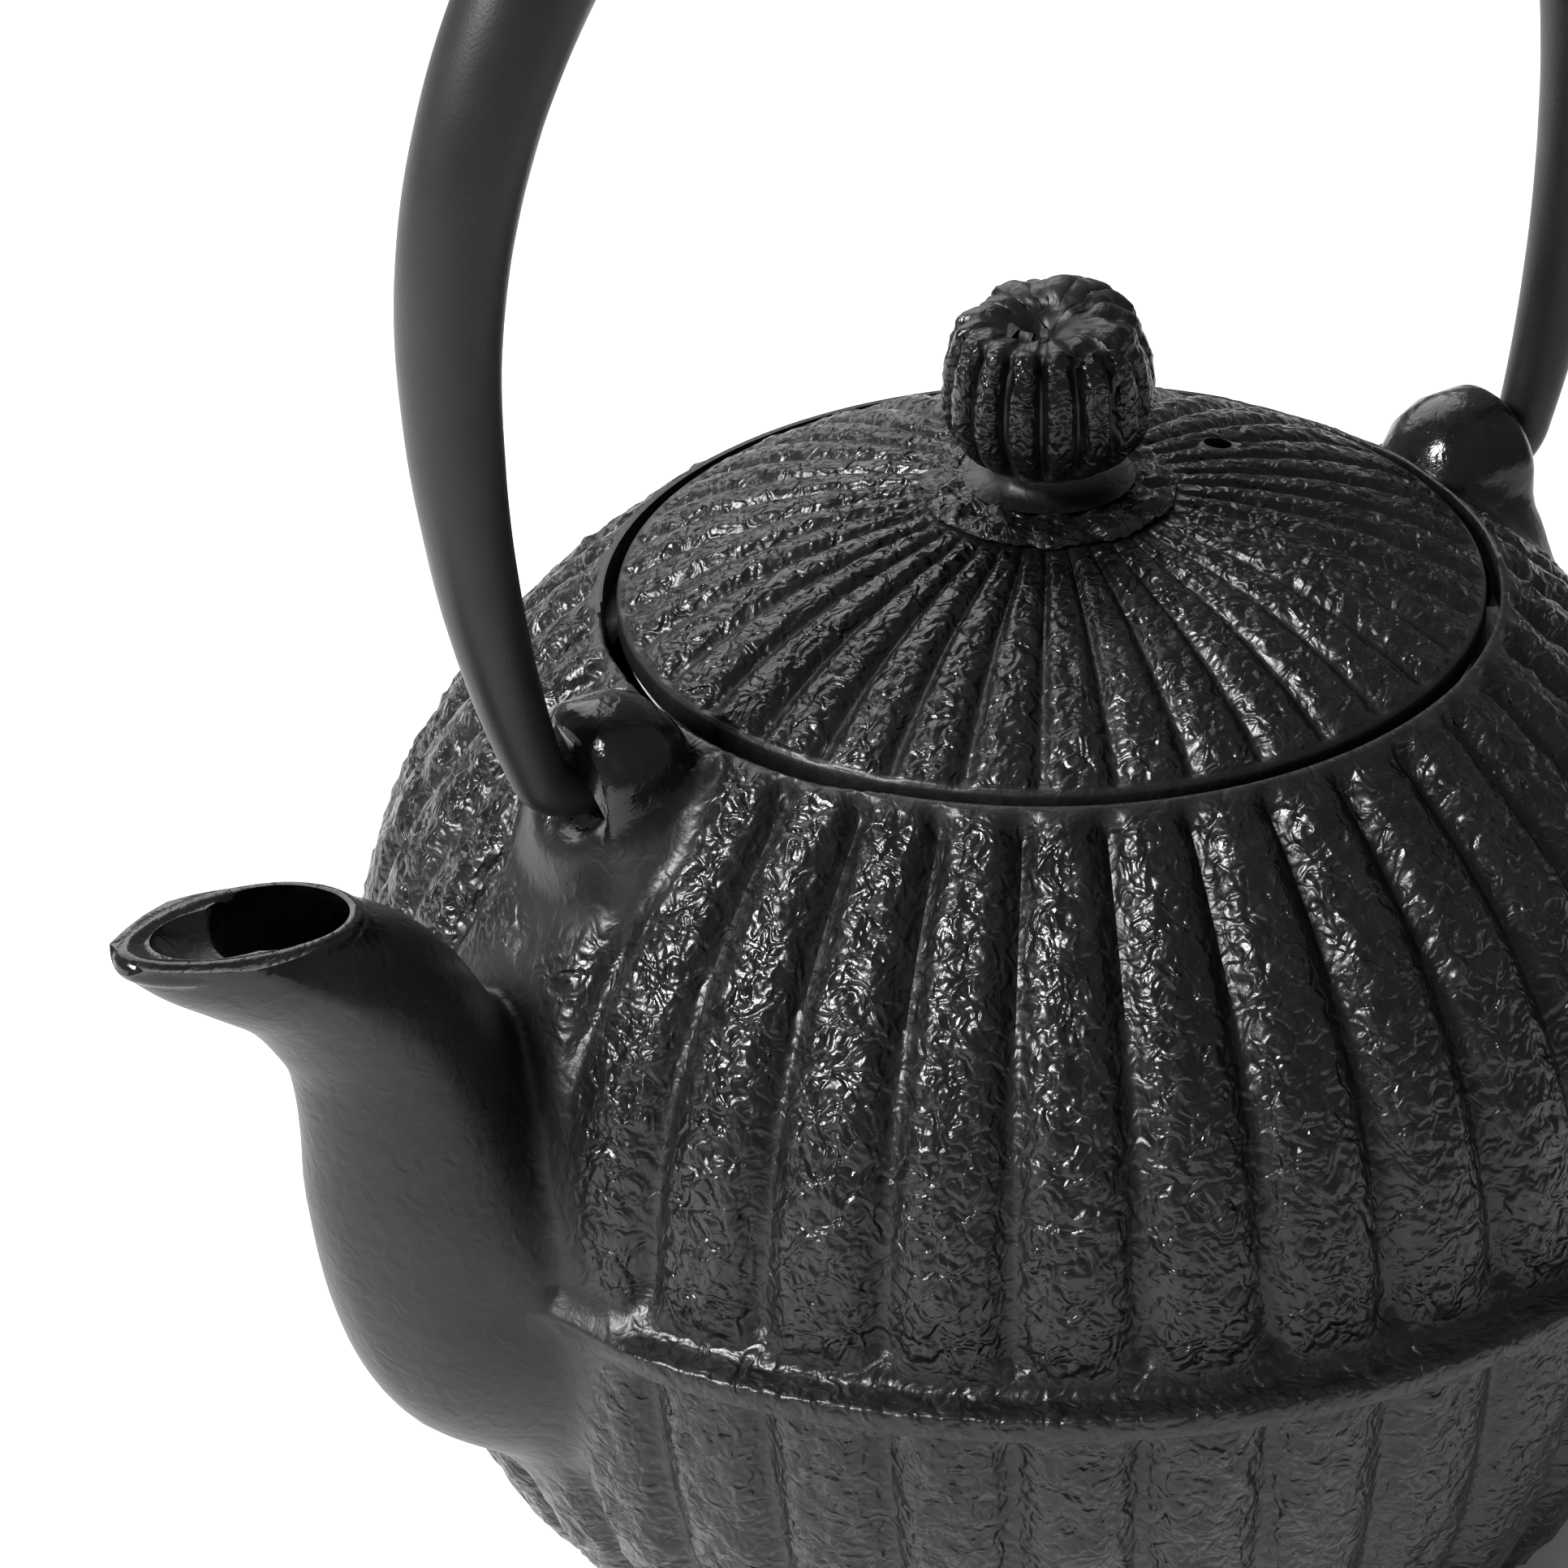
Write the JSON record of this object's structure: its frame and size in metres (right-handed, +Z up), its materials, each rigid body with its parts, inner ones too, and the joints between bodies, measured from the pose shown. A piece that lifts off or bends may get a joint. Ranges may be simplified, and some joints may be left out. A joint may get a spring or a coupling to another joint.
{
  "type": "teapot",
  "caption": "Round ribbed cast iron teapot with a belt flange, curved spout, swinging arch handle, knobbed lid and hanging infuser basket.",
  "frame": {"origin": "centre of the foot, on the plane that the pot stands on", "axes": "+Z up the pot's axis, +X towards the spout, and the handle's hinge line runs along X"},
  "size_m": [0.1822, 0.1498, 0.2183],
  "materials": {
    "cast_iron": "ribbed and wrinkled black casting, satin",
    "lid_iron": "ribbed and wrinkled black casting, satin",
    "knob_iron": "smooth black casting, glossy on the high places",
    "handle_iron": "smooth satin black",
    "enamel": "glossy black enamel",
    "stainless": "brushed",
    "steel_mesh": "fine perforated sheet"
  },
  "bodies": {
    "pot": {"pot_floor": "cast_iron", "pot_bowl": "cast_iron", "pot_belt": "cast_iron", "pot_shoulder": "cast_iron", "spout": "cast_iron", "lug_left": "cast_iron", "lug_right": "cast_iron", "enamel_lining": "enamel"},
    "bail": {"handle": "handle_iron"},
    "infuser": {"infuser_rim": "stainless", "infuser_wall": "steel_mesh", "infuser_base_ring": "stainless", "infuser_floor": "steel_mesh"},
    "cover": {"lid": "lid_iron", "lid_knob": "knob_iron", "knob_seat": "knob_iron"}
  },
  "joints": [
    {"name": "handle_swing", "type": "hinge", "parent": "pot", "child": "bail", "pos_m": [0, 0, 0.0979], "axis": [1, 0, 0], "range_deg": [-110, 110]},
    {"name": "infuser_lift", "type": "slide", "parent": "pot", "child": "infuser", "axis": [0, 0, 1], "range_m": [0, 0.06]},
    {"name": "lid_lift", "type": "slide", "parent": "infuser", "child": "cover", "axis": [0, 0, 1], "range_m": [0, 0.055]}
  ]
}
